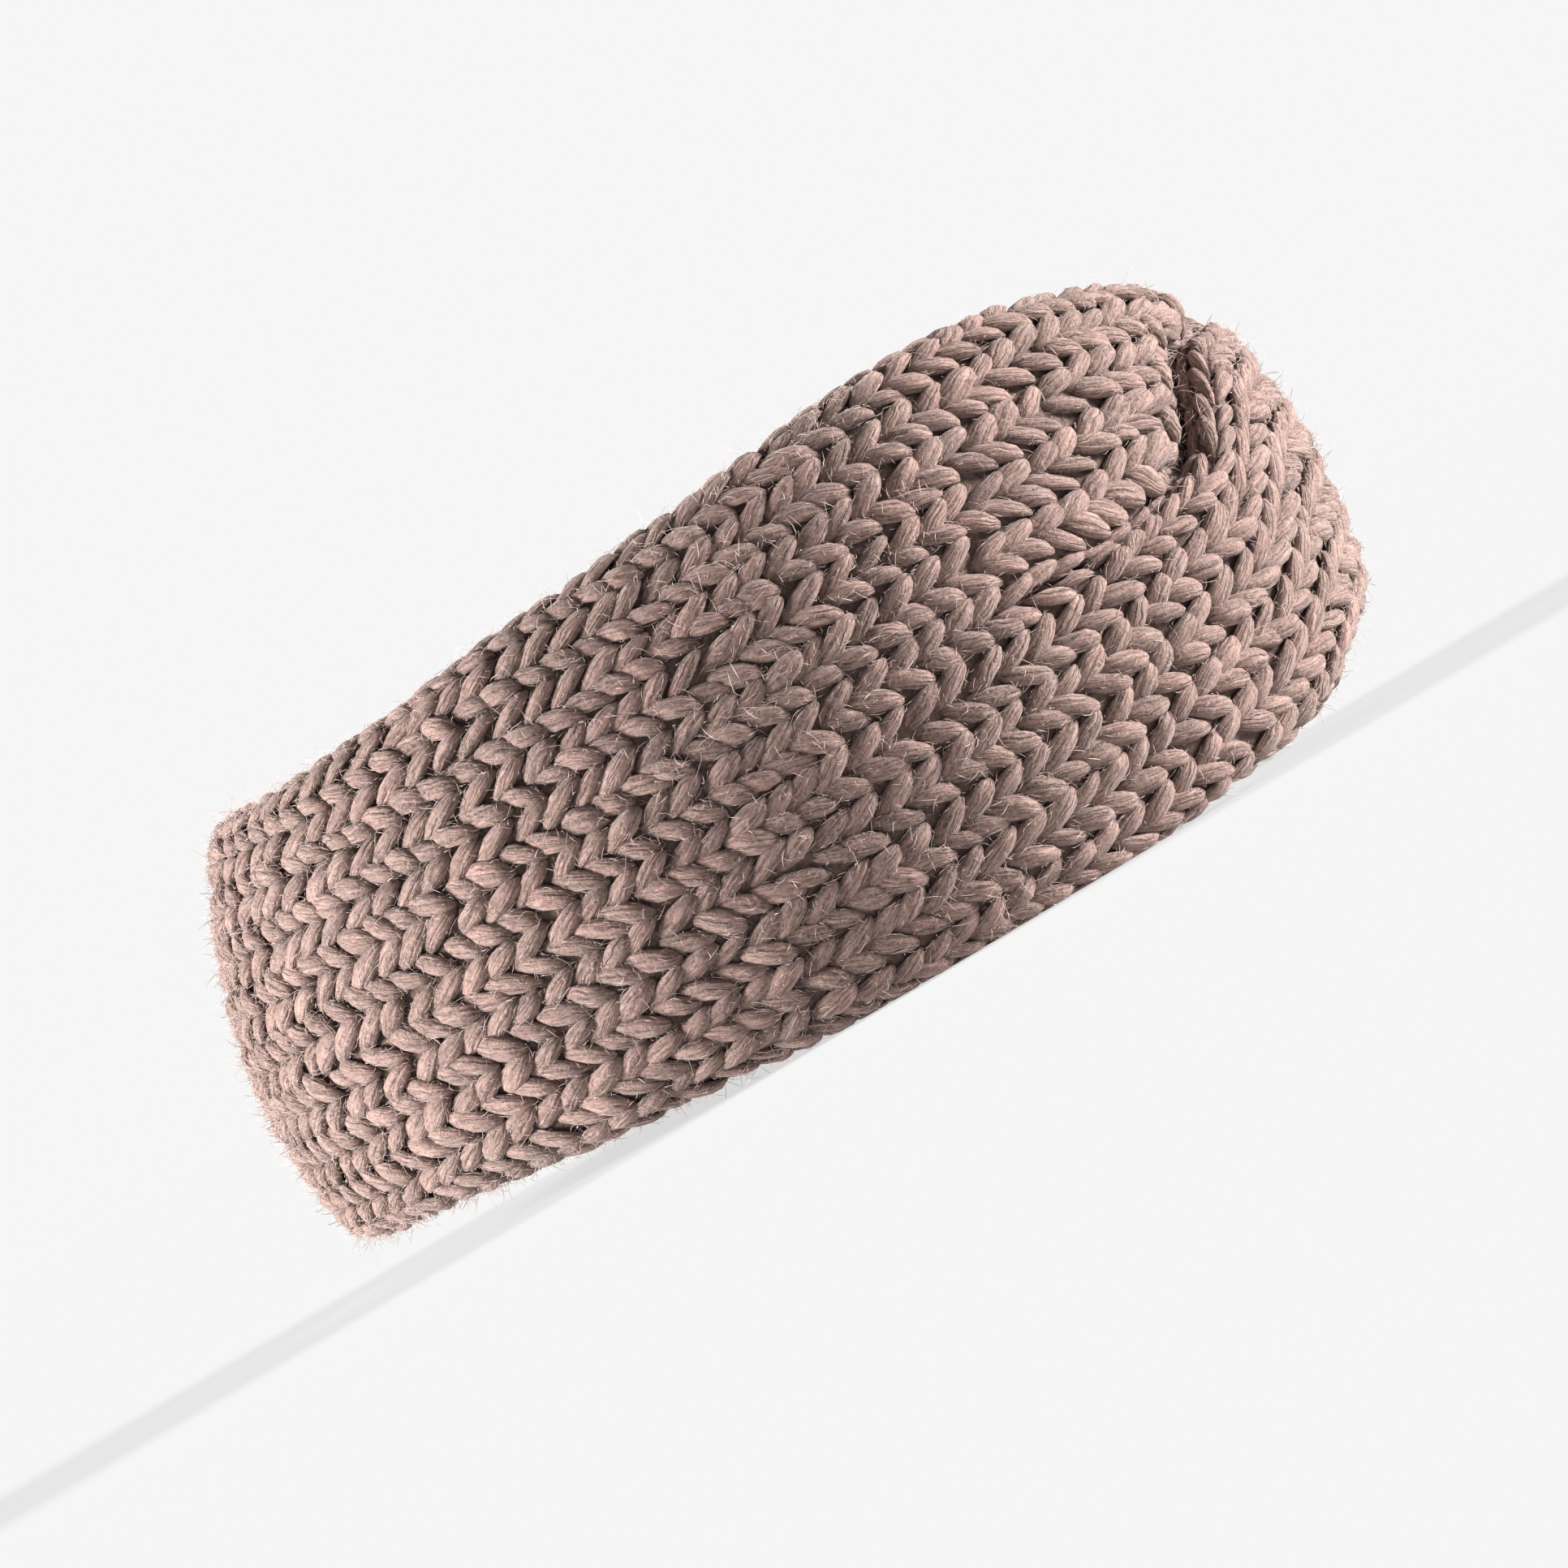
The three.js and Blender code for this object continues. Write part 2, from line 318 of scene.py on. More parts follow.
def sweep(piece, low, high, step, share, grow=0.0):
    """A piece's cross-sections from one angle to another: the angles and the rows of points."""
    angles = np.linspace(low, high, int(round((high - low) / step)) + 1)
    rows = []
    for angle in angles:
        turned = angle - 360 if angle > 180 else angle
        rows.append(place(turned, *section(piece, turned, share, grow)))
    return angles, np.array(rows)


class Form:
    """A piece's smooth surface, sampled so that it can be read at any angle and share."""

    def __init__(self, piece, low, high):
        halves = []
        for first in (0.0, 0.5):
            share = first + np.linspace(0, 0.5, FORM_HALF)
            share = np.clip(share, first + SHARE_MARGIN, first + 0.5 - SHARE_MARGIN)
            self.angles, rows = sweep(piece, low, high, FORM_STEP, share)
            halves.append(rows)
        self.points = np.stack(halves)
        if piece == "under":
            self.round_off(self.points[1])
        around = np.gradient(self.points, axis=1)
        down = np.gradient(self.points, axis=2)
        self.normals = unit(np.cross(down, around))

    def round_off(self, inside):
        """Smooth the inside where it is pressed in: it is rounder than the outside there."""
        j = np.arange(FORM_HALF)
        free = smoothstep(*ROUNDING_EDGES, j) * smoothstep(*ROUNDING_EDGES, FORM_HALF - 1 - j)
        amount = ROUNDING_RATE * free[1:-1, None]
        for _ in range(ROUNDING_STEPS):
            inside[:, 1:-1] += amount * (inside[:, :-2] - 2 * inside[:, 1:-1] + inside[:, 2:])

    def at(self, angle, share):
        """(points, normals) at angles and shares, in millimetres."""
        share = np.mod(share, 1.0)
        half = np.minimum((share * 2).astype(int), 1)
        j = np.clip((share * 2 - half) * (FORM_HALF - 1), 0, FORM_HALF - LAST_CELL)
        step = self.angles[1] - self.angles[0]
        i = np.clip((angle - self.angles[0]) / step, 0, len(self.angles) - LAST_CELL)
        i0, j0 = i.astype(int), j.astype(int)
        fi, fj = (i - i0)[..., None], (j - j0)[..., None]
        found = []
        for grid in (self.points, self.normals):
            start = grid[half, i0, j0] * (1 - fj) + grid[half, i0, j0 + 1] * fj
            end = grid[half, i0 + 1, j0] * (1 - fj) + grid[half, i0 + 1, j0 + 1] * fj
            found.append(start * (1 - fi) + end * fi)
        points, normals = found
        return points, unit(normals)


def wander(position, seed, wave, size):
    """A slow random drift along a wale, from a few waves."""
    local = np.random.default_rng(seed)
    phase = local.uniform(0, 2 * math.pi, DRIFT_WAVES)
    pull = local.uniform(*DRIFT_PULLS, DRIFT_WAVES)
    waves = sum(
        pull[k] * np.sin(2 * math.pi * position / (wave * (1 + DRIFT_GROWTH * k)) + phase[k])
        for k in range(DRIFT_WAVES)
    )
    return size * waves / DRIFT_WAVES


def backward(angle):
    """From 0 at the sides to 1 at the back of the head."""
    return smoothstep(*BACK_ANGLES, np.minimum(angle, 360 - angle))


def rolled(angle):
    """From 0, where a strap is half of the tube, to 1, where a wale lies on its top edge."""
    return 1 - smoothstep(*EDGE_TURN, np.abs(angle))


def leg_rings(local, side, pitch, wide):
    """One leg of each stitch in a wale, as rings of (along the wale, across it, height)."""
    count, along = len(pitch), LEG["along"]
    size, length, spread, lift, shift, lean, bow = (
        mean + local.normal(0, deviation, (count, 1)) for mean, deviation in LEG_VARIETY
    )
    t = (along * length + shift) * pitch
    v = side * (LEG["across"] * spread + lean * (along + LEAN_CENTRE)) * wide
    v += side * bow * np.sin(np.linspace(0, math.pi, len(along)))
    w = LEG["high"] * YARN_RADIUS + lift - YARN_DEPTH
    radius = LEG["wide"] * YARN_RADIUS * size * np.clip(wide / FULL_WALE, *LEG_ROOM)
    centre = np.stack([t, v, w], -1)
    ahead = unit(np.gradient(centre, axis=1))
    beside = unit(np.cross(np.array([0.0, 0.0, 1.0]), ahead))
    up = np.cross(ahead, beside)
    lumps = 1 + local.normal(0, LUMP_SPREAD, (count, len(along), len(RING_TURNS)))
    lumps += local.normal(0, LUMP_SPREAD, (count, 1, len(RING_TURNS)))
    out = radius[:, :, None] * lumps
    return (
        centre[:, :, None, :]
        + (out * np.cos(RING_TURNS))[..., None] * beside[:, :, None, :]
        + (out * np.sin(RING_TURNS) * LEG_FLATTENING)[..., None] * up[:, :, None, :]
    )


def knit(form, wales, low, high, seed, edges_shut):
    """The legs of all stitches on a form, two to a stitch.

    Gives the legs' points as (legs, rings, sides, 3), each leg's wale, angle and random number,
    and the points' heights over the form. With edges_shut, where a strap is still half of the
    tube, each side's stitches stay on that side.
    """
    legs, owners, heights = [], [], []
    for wale in range(wales):
        angles = np.arange(low, high + 1e-6, TRACK_STEP)
        even = (wale + 0.5) / wales
        opened = 2 * math.pi * (even - 0.25)
        if edges_shut:
            share = even - 0.5 / wales * rolled(angles)
            stretch = np.ones(len(angles))
        else:
            share = even + BACK_WIDENING * backward(angles) / (2 * math.pi) * math.sin(opened)
            stretch = 1 + BACK_STRETCH * backward(angles)
        drift = wander(
            angles * MM_PER_DEGREE, seed + wale, WALE_DRIFT["wave"], WALE_DRIFT["size"] / wales
        )
        share = share + drift

        # The stitches are spaced evenly along the wale, and then moved a little.
        line, _ = form.at(angles, share)
        walked = np.append(0, np.cumsum(np.linalg.norm(np.diff(line, axis=0), axis=1)))
        rows = np.append(0, np.cumsum(np.diff(walked) / (ROW_PITCH * stretch[1:])))
        count = int(round(rows[-1]))
        local = np.random.default_rng(seed + LEG_SEED + wale)
        stitch = np.interp((np.arange(count) + 0.5) * rows[-1] / count, rows, walked)
        pitch = np.gradient(stitch)[:, None]
        stitch += local.normal(0, ROW_SPREAD, count) * pitch[:, 0]
        stitch += wander(stitch, seed + ROW_SEED + wale, **ROW_DRIFT)
        angle = np.interp(stitch, walked, angles)
        centre_share = np.interp(stitch, walked, share)

        # The wale's width, and how far rows lean along it.
        tangent = np.gradient(line, walked, axis=0)
        tangent = unit(
            np.stack([np.interp(stitch, walked, tangent[:, k]) for k in range(3)], -1)
        )
        small = WIDTH_REACH / wales
        right_of = form.at(angle, centre_share + small)[0]
        left_of = form.at(angle, centre_share - small)[0]
        across = (right_of - left_of) / (2 * small)
        shear = (across * tangent).sum(-1)[:, None, None]
        form_wide = np.linalg.norm(across - shear[:, 0] * tangent, axis=-1) / wales
        wide = form_wide.copy()
        if not edges_shut:
            wide *= 1 + BACK_WIDENING * backward(angle) * math.cos(opened)

        for side in (-1, 1):
            ring = leg_rings(local, side, pitch, wide[:, None])
            share_off = ring[..., 1] / (form_wide[:, None, None] * wales)
            point_share = centre_share[:, None, None] + share_off
            if edges_shut:
                lowest = (wale // (wales // 2)) * 0.5
                free = rolled(angle)[:, None, None]
                point_share = np.clip(
                    point_share, lowest + EDGE_MARGIN - free, lowest + 0.5 - EDGE_MARGIN + free
                )
            along = stitch[:, None, None] + ring[..., 0] - share_off * shear
            over_run = along - np.clip(along, 0, walked[-1])
            point_angle = np.interp(along, walked, angles) + over_run / MM_PER_DEGREE
            base, normal = form.at(point_angle, point_share)
            legs.append(base + normal * ring[..., 2:3])
            heights.append(ring[..., 2])
            owners.append(np.stack([np.full(count, wale), angle, local.random(count)], -1))
    return [np.concatenate(part) for part in (legs, owners, heights)]


def build_mesh(name, verts, loops, sizes, material, uv=None, values=None):
    """A mesh object from arrays, in millimetres. What would dip below the floor lies on it."""
    verts = np.array(verts, np.float32) * MM
    verts[:, 2] = np.maximum(verts[:, 2], FLOOR_CLEARANCE)
    mesh = bpy.data.meshes.new(name)
    mesh.vertices.add(len(verts))
    mesh.vertices.foreach_set("co", verts.ravel())
    mesh.loops.add(len(loops))
    mesh.loops.foreach_set("vertex_index", np.asarray(loops, np.int32))
    mesh.polygons.add(len(sizes))
    starts = np.append(0, np.cumsum(sizes)[:-1]).astype(np.int32)
    mesh.polygons.foreach_set("loop_start", starts)
    mesh.polygons.foreach_set("use_smooth", np.ones(len(sizes), bool))
    if uv is not None:
        layer = mesh.uv_layers.new(name="yarn")
        layer.data.foreach_set("uv", np.asarray(uv, np.float32).ravel())
    for key, value in (values or {}).items():
        attribute = mesh.attributes.new(key, "FLOAT", "POINT")
        attribute.data.foreach_set("value", value.astype(np.float32))
    mesh.update(calc_edges=True)
    mesh.validate()
    mesh.materials.append(material)
    obj = bpy.data.objects.new(name, mesh)
    bpy.context.scene.collection.objects.link(obj)
    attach(obj, "root")
    return obj


def leg_faces(rings, sides):
    """One leg's quads and triangles, each with the pattern's coordinates at its corners."""
    inner = rings - 2
    last = inner * sides + 1
    around = np.linspace(0, 2 * math.pi * YARN_RADIUS, sides + 1)
    along = np.linspace(0, PATTERN_LENGTH, rings)
    quads, quad_uv, tris, tri_uv = [], [], [], []
    for r in range(inner - 1):
        here, there = along[r + 1], along[r + 2]
        for s in range(sides):
            near, far = around[s], around[s + 1]
            a, b = 1 + r * sides + s, 1 + r * sides + (s + 1) % sides
            quads.append((a, b, b + sides, a + sides))
            quad_uv.append(((here, near), (here, far), (there, far), (there, near)))
    for s in range(sides):
        near, far = around[s], around[s + 1]
        middle = (near + far) / 2
        a, b = 1 + s, 1 + (s + 1) % sides
        tris.append((0, b, a))
        tri_uv.append(((along[0], middle), (along[1], far), (along[1], near)))
        a, b = a + (inner - 1) * sides, b + (inner - 1) * sides
        tris.append((last, a, b))
        tri_uv.append(((along[-1], middle), (along[-2], near), (along[-2], far)))
    uv = np.concatenate([np.array(quad_uv).reshape(-1, 2), np.array(tri_uv).reshape(-1, 2)])
    return np.array(quads), np.array(tris), uv


def leg_mesh(name, knitted, chosen, material):
    """One mesh of the chosen legs. Each leg's first and last rings are points."""
    legs, owners, heights = (array[chosen] for array in knitted)
    count, rings, sides = legs.shape[:3]
    per_leg = (rings - 2) * sides + 2

    def pointed(values):
        """Values on the legs' rings as one row for each leg, with a single value at each end."""
        middle = values[:, 1:-1].reshape(count, per_leg - 2, *values.shape[3:])
        return np.concatenate([values[:, 0, :1], middle, values[:, -1, :1]], 1)

    quads, tris, leg_uv = leg_faces(rings, sides)
    first = (np.arange(count) * per_leg)[:, None]
    loops = np.concatenate([quads.ravel() + first, tris.ravel() + first], 1)
    sizes = np.tile([4] * len(quads) + [3] * len(tris), count)
    number = owners[:, 2]
    column = np.floor(number * PATTERN_COLUMNS)
    row = np.floor(number * PATTERN_SHUFFLE % PATTERN_ROWS)
    offset = np.stack([column, row], -1) * PATTERN_SPACING
    uv = (leg_uv[None] + offset[:, None]) * PATTERN_SCALE
    # Each point's height, from the bottom of the gaps to the yarn's top, read by the painted
    # shade that darkens the yarn deeper down.
    low, high = GAP_SHADE_HEIGHTS
    values = {
        "tone": np.repeat(number * TONE_SHUFFLE % 1, per_leg),
        "gap_shade_height": np.clip((pointed(heights).ravel() - low) / (high - low), 0, 1),
    }
    verts = pointed(legs).reshape(-1, 3)
    return build_mesh(name, verts, loops.ravel(), sizes, material, uv.reshape(-1, 2), values)


def ground_mesh(name, piece, low, high, sides, material):
    """The closed body under the legs: the knit's hidden loops."""
    shares = (np.arange(sides) + 0.5) / sides
    angles, rows = sweep(piece, low, high, GROUND_STEP, shares, -GROUND_DEPTH)
    ends = [rows[0].mean(0)[None], rows[-1].mean(0)[None]]
    verts = np.concatenate([rows.reshape(-1, 3), *ends])
    first, last = len(verts) - 2, len(verts) - 1
    loops, sizes = [], []
    for i in range(len(angles) - 1):
        for j in range(sides):
            a, b = i * sides + j, i * sides + (j + 1) % sides
            loops += [a, b, b + sides, a + sides]
            sizes.append(4)
    end = (len(angles) - 1) * sides
    for j in range(sides):
        k = (j + 1) % sides
        loops += [first, k, j, last, end + j, end + k]
        sizes += [3, 3]
    return build_mesh(name, verts, loops, np.array(sizes), material)


def varied(local, count, typical, spread, least, most):
    """Random sizes round a typical one, as a column."""
    return np.clip(local.lognormal(math.log(typical), spread, count), least, most)[:, None]


def fibres(legs, count, local, rings, length, height):
    """Fibres that arch over the stitches, thin and pointed: (vertices, loops, sizes)."""
    bend = FIBRES_EVERYWHERE + (legs[:, 0, 0, 0] / (LENGTH / 2)) ** 2
    which = local.choice(len(legs), count, p=bend / bend.sum())
    ring = local.integers(1, legs.shape[1] - 2, count)
    side = local.integers(0, TOP_TURNS, count)
    mix = local.random(count)[:, None]
    root = legs[which, ring, side] * (1 - mix) + legs[which, ring + 1, side] * mix
    middle = legs[which, ring].mean(1) * (1 - mix) + legs[which, ring + 1].mean(1) * mix
    outward = unit(root - middle)
    along = unit(legs[which, ring + 1, side] - legs[which, ring, side])
    along = along * local.choice([-1, 1], count)[:, None]
    beside = np.cross(outward, along)
    veer = local.normal(0, FIBRE_VEER, count)[:, None]
    heading = unit(np.cos(veer) * along + np.sin(veer) * beside)
    aside = np.cross(outward, heading)
    lengths = varied(local, count, length, **FIBRE_LENGTHS)
    heights = varied(local, count, height, **FIBRE_HEIGHTS)
    curl = local.normal(0, FIBRE_CURL, (count, 1)) * lengths
    droop = local.uniform(*FIBRE_DROOP, (count, 1)) * heights
    radius = local.uniform(*FIBRE_RADII, count)[:, None]

    def point(s):
        rise = 4 * heights * s * (1 - s) - droop * s * s - FIBRE_ROOT_DEPTH * (1 - s)
        return root + lengths * s * heading + curl * s * s * aside + rise * outward

    # A ring has three points, and both ends are single points.
    stations = [point(0.0)]
    for k in range(rings):
        s = (k + 1) / (rings + 1)
        ahead = unit(point(s + FIBRE_LOOK_AHEAD) - point(s))
        one = unit(np.cross(ahead, aside + FIBRE_TILT * outward))
        two = np.cross(ahead, one)
        for turn in THIRDS_OF_A_TURN:
            stations.append(point(s) + radius * (math.cos(turn) * one + math.sin(turn) * two))
    stations.append(point(1.0))
    tip = 3 * rings + 1
    sides = [(0, 1), (1, 2), (2, 0)]
    quads = [
        (start + j, start + k, start + 3 + k, start + 3 + j)
        for start in range(1, tip - 3, 3)
        for j, k in sides
    ]
    tris = [(tip - 3 + j, tip - 3 + k, tip) for j, k in sides]
    tris += [(1 + k, 1 + j, 0) for j, k in sides]
    pattern = np.concatenate([np.array(quads, int).ravel(), np.array(tris).ravel()])
    loops = pattern[None] + (np.arange(count) * (tip + 1))[:, None]
    sizes = np.tile([4] * len(quads) + [3] * len(tris), count)
    return np.stack(stations, 1).reshape(-1, 3), loops.ravel(), sizes


def fuzz_mesh(name, knitted, chosen, short, long, seed, material):
    """Short fibres that make the yarn's surface soft, and longer ones that cross the stitches.

    short and long say how many there are of each.
    """
    local = np.random.default_rng(seed)
    legs = knitted[0][chosen]
    verts, loops, sizes = fibres(legs, short, local, **SHORT_FIBRES)
    more_verts, more_loops, more_sizes = fibres(legs, long, local, **LONG_FIBRES)
    return build_mesh(
        name,
        np.concatenate([verts, more_verts]),
        np.concatenate([loops, more_loops + len(verts)]),
        np.concatenate([sizes, more_sizes]),
        material,
    )


# Materials.
YARN = (0.236, 0.155, 0.137, 1)
LOOSE_FIBRE = (0.39, 0.285, 0.252, 1)
# The yarn between the stitches has a darker colour than the stitches' yarn: painted shade in the
# gaps.
SHADED_GROUND = (0.180, 0.124, 0.107, 1)
FUZZ = (0.60, 0.465, 0.42, 1)
FIBRE_DIRECTIONS = ((0.5, 0.35, 0.2), (-0.6, 0.3, 1.4), (0.2, -0.9, 0.8), (0.9, 1.2, -0.5))
FIBRE_SCALE = (90, 700, 700)
FIBRE_STRENGTH = 0.38
WOBBLE = (0.012, 0.012, 0)
BLACK, WHITE = (0, 0, 0), (1, 1, 1)


def node_tree(name):
    material = bpy.data.materials.new(name)
    material.use_nodes = True
    tree = material.node_tree
    tree.nodes.clear()
    output = tree.nodes.new("ShaderNodeOutputMaterial")
    shader = tree.nodes.new("ShaderNodeBsdfPrincipled")
    tree.links.new(shader.outputs["BSDF"], output.inputs["Surface"])
    return material, tree, shader


def add(tree, kind, **inputs):
    """A node with its inputs set or linked, each to a number, a colour or another node's socket.

    A name in lower case is a setting of the node itself, and I_2 is the input with index 2.
    """
    node = tree.nodes.new(kind)
    for key, value in inputs.items():
        if key[0].islower():
            setattr(node, key, value)
            continue
        socket = node.inputs[int(key[2:]) if key.startswith("I_") else key]
        if isinstance(value, bpy.types.NodeSocket):
            tree.links.new(value, socket)
        else:
            socket.default_value = value
    return node


def set_values(shader, **values):
    for key, value in values.items():
        shader.inputs[key.replace("_", " ")].default_value = value


def ramp(tree, factor, stops):
    """A colour ramp through (position, colour) stops."""
    node = add(tree, "ShaderNodeValToRGB", Fac=factor)
    while len(node.color_ramp.elements) < len(stops):
        node.color_ramp.elements.new(0.5)
    for element, (position, colour) in zip(node.color_ramp.elements, stops):
        element.position = position
        element.color = (*colour, 1)
    return node.outputs["Color"]


def tinted(green, blue, *stops):
    """Stops from (position, brightness) pairs, all with the same tint."""
    return [(at, (value, value * green, value * blue)) for at, value in stops]


def mix(tree, kind, factor, a, b):
    node = add(tree, "ShaderNodeMix", data_type="RGBA", blend_type=kind, I_0=factor, I_6=a, I_7=b)
    return node.outputs[2]


def object_noise(tree, scale, detail, **inputs):
    """Noise that is fixed to the object."""
    place_on = add(tree, "ShaderNodeTexCoord").outputs["Object"]
    inputs = dict(Vector=place_on, Scale=scale, Detail=detail, **inputs)
    return add(tree, "ShaderNodeTexNoise", **inputs).outputs[0]


def stretched_noise(tree, vector, turns, scale, **inputs):
    """Noise drawn out to strands: the vector is turned and then scaled."""
    turned = add(tree, "ShaderNodeMapping", Vector=vector, Rotation=turns).outputs[0]
    stretched = add(tree, "ShaderNodeMapping", Vector=turned, Scale=scale).outputs[0]
    return add(tree, "ShaderNodeTexNoise", Vector=stretched, Scale=1.0, **inputs).outputs[0]


def bump(tree, height, strength, distance, **inputs):
    inputs = dict(Strength=strength, Distance=distance, Height=height, **inputs)
    return add(tree, "ShaderNodeBump", **inputs).outputs[0]


def yarn_material():
    material, tree, shader = node_tree("chunky_yarn")
    uv = add(tree, "ShaderNodeUVMap", uv_map="yarn").outputs["UV"]

    # The fibres wander a little, so that nothing on the yarn is quite straight.
    wobble = add(tree, "ShaderNodeTexNoise", Vector=uv, Scale=60.0, Detail=1.0).outputs[1]
    bent = add(
        tree, "ShaderNodeVectorMath", operation="MULTIPLY_ADD", I_0=wobble, I_1=WOBBLE, I_2=uv
    ).outputs[0]

    def along_yarn(scale, detail, roughness, degrees):
        turns = (0, 0, math.radians(degrees))
        return stretched_noise(tree, bent, turns, scale, Detail=detail, Roughness=roughness)

    strands = along_yarn(scale=(15, 150, 1), detail=1.0, roughness=0.5, degrees=-9)
    threads = along_yarn(scale=(26, 250, 1), detail=2.0, roughness=0.6, degrees=-5)
    crossing = along_yarn(scale=(34, 300, 1), detail=2.0, roughness=0.6, degrees=-30)
    blotches = object_noise(tree, scale=55.0, detail=3.0)
    felt = object_noise(tree, scale=1900.0, detail=3.0, Roughness=0.7)
    tone = add(tree, "ShaderNodeAttribute", attribute_name="tone").outputs["Fac"]
    # Painted shade: the yarn's colour is darker the deeper it lies between the stitches, with the
    # threads' pattern mixed into that shade.
    gap_shade_height = add(tree, "ShaderNodeAttribute", attribute_name="gap_shade_height").outputs["Fac"]
    gap_shade_and_threads = add(
        tree, "ShaderNodeMath", operation="MULTIPLY_ADD", I_0=threads, I_1=0.7, I_2=gap_shade_height
    ).outputs[0]
    colour = YARN
    for layer, stops in (
        (strands, tinted(0.97, 0.96, (0.36, 0.58), (0.46, 1.0), (0.66, 1.22))),
        (threads, tinted(1.0, 0.99, (0.30, 0.56), (0.5, 1.0), (0.70, 1.48))),
        (crossing, tinted(1.0, 0.99, (0.30, 0.68), (0.5, 1.0), (0.70, 1.35))),
        (felt, tinted(0.99, 0.98, (0.34, 0.72), (0.5, 1.0), (0.66, 1.28))),
        (tone, tinted(0.99, 0.98, (0.0, 0.87), (1.0, 1.13))),
        (blotches, [(0.35, (0.92, 0.95, 0.94)), (0.65, (1.07, 1.04, 1.05))]),
        # This last ramp is painted shade, darker deeper down between the stitches, mixed with the
        # threads' pattern.
        (gap_shade_and_threads, tinted(0.99, 0.99, (0.40, 0.78), (0.80, 0.93), (1.0, 1.03))),
    ):
        colour = mix(tree, "MULTIPLY", 1.0, colour, ramp(tree, layer, stops))

    # Single paler fibres lie over the stitches in all directions.
    place_on = add(tree, "ShaderNodeTexCoord").outputs["Object"]
    for turns in FIBRE_DIRECTIONS:
        field = stretched_noise(tree, place_on, turns, FIBRE_SCALE, Detail=1.0, Distortion=0.6)
        line = ramp(tree, field, [(0.462, BLACK), (0.5, WHITE), (0.538, BLACK)])
        part = add(
            tree, "ShaderNodeMath", operation="MULTIPLY", I_0=line, I_1=FIBRE_STRENGTH
        ).outputs[0]
        colour = mix(tree, "MIX", part, colour, LOOSE_FIBRE)
    tree.links.new(colour, shader.inputs["Base Color"])
    coarse = bump(tree, strands, strength=1.0, distance=0.0006)
    middle = bump(tree, threads, strength=1.0, distance=0.00030, Normal=coarse)
    fine = bump(tree, felt, strength=0.8, distance=0.00018, Normal=middle)
    tree.links.new(fine, shader.inputs["Normal"])
    set_values(
        shader,
        Roughness=0.80,
        Specular_IOR_Level=0.20,
        Sheen_Weight=0.22,
        Sheen_Roughness=0.50,
        Sheen_Tint=(0.95, 0.88, 0.85, 1),
    )
    return material


def ground_material():
    # Painted shade: the hidden loops are the same yarn, coloured darker so that the gaps between
    # the stitches look shaded.
    material, tree, shader = node_tree("shaded_yarn_between_stitches")
    noise = object_noise(tree, scale=900.0, detail=3.0)
    shades = ramp(tree, noise, [(0.3, (0.6, 0.6, 0.6)), (0.7, (1.3, 1.28, 1.26))])
    tree.links.new(mix(tree, "MULTIPLY", 1.0, SHADED_GROUND, shades), shader.inputs["Base Color"])
    rough = bump(tree, noise, strength=0.9, distance=0.0006)
    tree.links.new(rough, shader.inputs["Normal"])
    set_values(shader, Roughness=0.95, Specular_IOR_Level=0.15)
    return material


def fuzz_material():
    material, tree, shader = node_tree("loose_fibres")
    noise = object_noise(tree, scale=400.0, detail=1.0)
    shades = ramp(tree, noise, [(0.3, (0.75, 0.74, 0.73)), (0.7, (1.2, 1.2, 1.2))])
    tree.links.new(mix(tree, "MULTIPLY", 1.0, FUZZ, shades), shader.inputs["Base Color"])
    set_values(shader, Roughness=0.7, Sheen_Weight=0.1, Sheen_Tint=(0.95, 0.86, 0.82, 1))
    return material


yarn, ground, fuzz = yarn_material(), ground_material(), fuzz_material()

# The headband's pieces. The band runs round the back, and the straps cross in front.
BAND_END = 360 - TWIST_ANGLE
BAND_CUT = TWIST_ANGLE + SEAM_GAP
STRAP_CUT = TWIST_ANGLE - SEAM_GAP
BAND_SIDES = 72
STRAP_SIDES = 48
band_form = Form("band", TWIST_ANGLE - FORM_MARGIN, BAND_END + FORM_MARGIN)
over_form = Form("over", -TWIST_ANGLE - FORM_MARGIN, TWIST_ANGLE + FORM_MARGIN)
under_form = Form("under", -TWIST_ANGLE - FORM_MARGIN, TWIST_ANGLE + FORM_MARGIN)

band_knit = knit(band_form, BAND_WALES, TWIST_ANGLE, BAND_END, seed=100, edges_shut=False)
over_knit = knit(
    over_form, STRAP_WALES, -TWIST_ANGLE, TWIST_ANGLE, seed=3000, edges_shut=True
)
under_knit = knit(
    under_form, STRAP_WALES, -TWIST_ANGLE, TWIST_ANGLE, seed=5000, edges_shut=True
)

band_cloth = ground_mesh(
    "band_cloth", "band", BAND_CUT, 360 - BAND_CUT, BAND_SIDES, ground
)
over_cloth = ground_mesh(
    "twist_over_cloth", "over", -STRAP_CUT, STRAP_CUT, STRAP_SIDES, ground
)
under_cloth = ground_mesh(
    "twist_under_cloth", "under", -STRAP_CUT, STRAP_CUT, STRAP_SIDES, ground
)

outer = band_knit[1][:, 0] < BAND_WALES // 2
right = band_knit[1][:, 1] > 180
every = slice(None)
band_pieces = [
    leg_mesh("band_stitches_outside_right", band_knit, outer & right, yarn),
    leg_mesh("band_stitches_outside_left", band_knit, outer & ~right, yarn),
    leg_mesh("band_stitches_inside_right", band_knit, ~outer & right, yarn),
    leg_mesh("band_stitches_inside_left", band_knit, ~outer & ~right, yarn),
    fuzz_mesh("band_fuzz_right", band_knit, outer & right, 16000, 7000, seed=71, material=fuzz),
    fuzz_mesh("band_fuzz_left", band_knit, outer & ~right, 16000, 7000, seed=74, material=fuzz),
]
over_pieces = [
    leg_mesh("twist_over_stitches", over_knit, every, yarn),
    fuzz_mesh("twist_over_fuzz", over_knit, every, 9500, 3600, seed=72, material=fuzz),
]
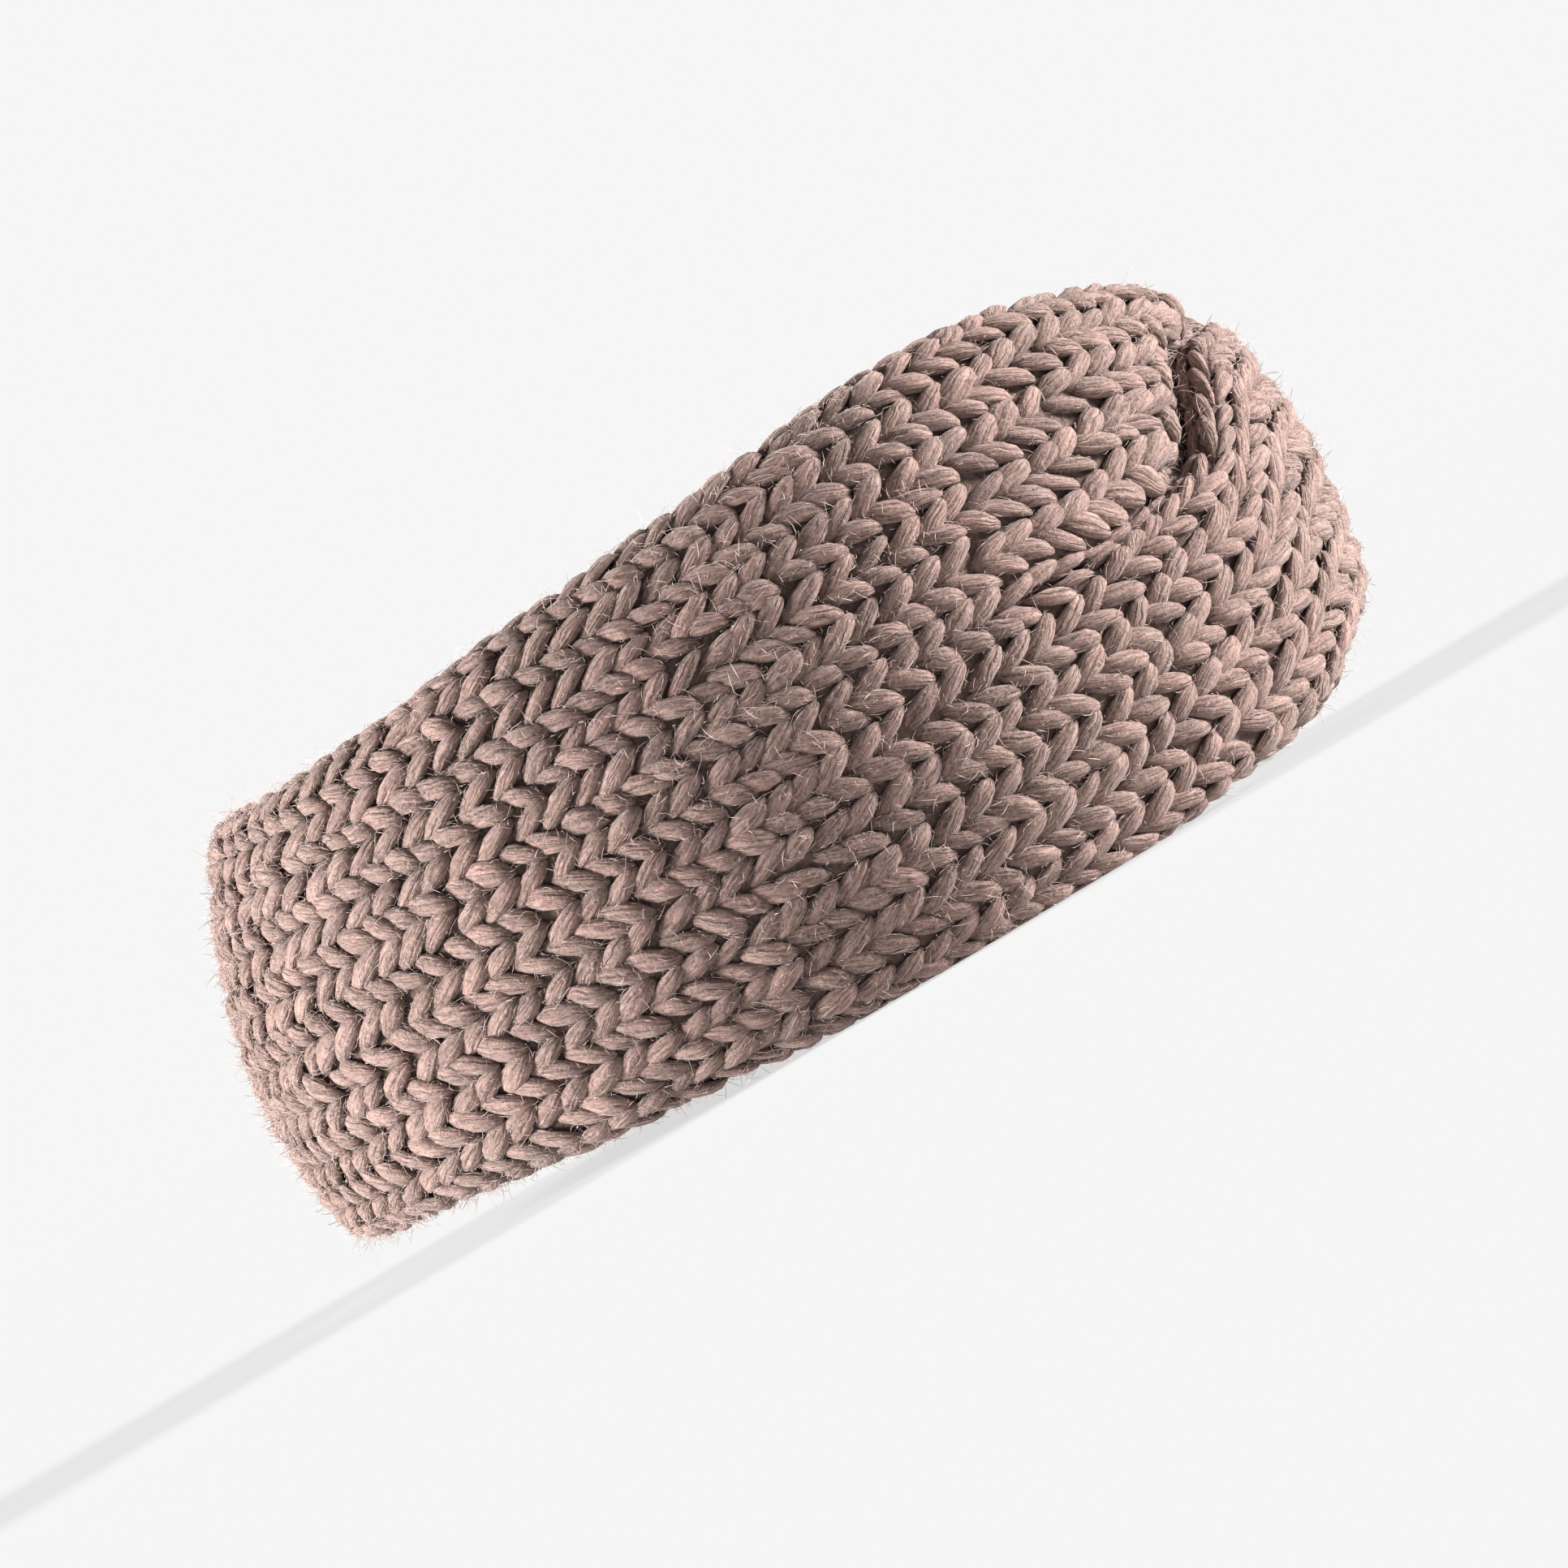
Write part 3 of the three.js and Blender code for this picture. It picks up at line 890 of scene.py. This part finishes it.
under_pieces = [
    leg_mesh("twist_under_stitches", under_knit, every, yarn),
    fuzz_mesh("twist_under_fuzz", under_knit, every, 7000, 2800, seed=73, material=fuzz),
]

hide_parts("band")
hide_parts("twist_over")
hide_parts("twist_under")

# The floor has the tone of the studio behind it. Part of its light is its own, so that the
# long shadows on it are faint.
FLOOR_RADIUS = 8.0
FLOOR_GREY = (0.206, 0.206, 0.206, 1)
FLOOR_GLOW = 0.642
bpy.ops.mesh.primitive_circle_add(
    vertices=96, radius=FLOOR_RADIUS, fill_type="NGON", location=(0, 0, 0)
)
floor = bpy.context.active_object
floor.name = "floor"
floor_material, _, floor_shader = node_tree("pale_floor")
set_values(
    floor_shader,
    Base_Color=FLOOR_GREY,
    Emission_Color=(1, 1, 1, 1),
    Emission_Strength=FLOOR_GLOW,
    Roughness=1.0,
    Specular_IOR_Level=0.0,
)
floor.data.materials.append(floor_material)

# The backdrop is as pale as the floor, and lights the band less than the lamps do.
BACKDROP = 0.92
DOME = 0.12
world = bpy.data.worlds.new("studio")
world.use_nodes = True
tree = world.node_tree
backdrop = tree.nodes["Background"]
backdrop.inputs["Color"].default_value = (1, 1, 1, 1)
seen = add(tree, "ShaderNodeLightPath").outputs["Is Camera Ray"]
strength = add(
    tree, "ShaderNodeMath", operation="MULTIPLY_ADD", I_0=seen, I_1=BACKDROP - DOME, I_2=DOME
)
tree.links.new(strength.outputs[0], backdrop.inputs["Strength"])
bpy.context.scene.world = world

SUN_STRENGTH = 9.8
SUN_SOFTNESS = 25


def sun(name, direction):
    """A soft light from far away, shining from direction."""
    light = bpy.data.lights.new(name, "SUN")
    light.energy = SUN_STRENGTH
    light.angle = math.radians(SUN_SOFTNESS)
    lamp = bpy.data.objects.new(name, light)
    z = np.array(direction, float)
    z /= np.linalg.norm(z)
    x = np.cross((0, 0, 1), z)
    x /= np.linalg.norm(x)
    y = np.cross(z, x)
    lamp.matrix_world = Matrix(
        [
            [x[0], y[0], z[0], 0],
            [x[1], y[1], z[1], 0],
            [x[2], y[2], z[2], 1],
            [0, 0, 0, 1],
        ]
    )
    bpy.context.scene.collection.objects.link(lamp)


sun("light_front", (1.0, -0.02, 0.20))
sun("light_back", (-1.0, -0.02, 0.20))

# The photo's view: level with the band's middle, with the forehead turned up to the right.
IMAGE_SIDE = 1932
MM_PER_PIXEL = 0.134
SENSOR_WIDTH = 36.0
CAMERA_DISTANCE = 1.4
ROLL = math.radians(30.5)
AIM = (-0.00107, 0.0, 0.0381)
camera_data = bpy.data.cameras.new("camera")
camera_data.sensor_width = SENSOR_WIDTH
camera_data.lens = SENSOR_WIDTH * CAMERA_DISTANCE / (IMAGE_SIDE * MM_PER_PIXEL * MM)
camera_data.clip_end = 50.0
camera = bpy.data.objects.new("camera", camera_data)
bpy.context.scene.collection.objects.link(camera)
camera.matrix_world = Matrix(
    [
        [math.cos(ROLL), math.sin(ROLL), 0, AIM[0]],
        [0, 0, -1, AIM[1] - CAMERA_DISTANCE],
        [-math.sin(ROLL), math.cos(ROLL), 0, AIM[2]],
        [0, 0, 0, 1],
    ]
)
bpy.context.scene.camera = camera
bpy.context.scene.view_settings.view_transform = "Standard"
bpy.context.scene.view_settings.look = "None"
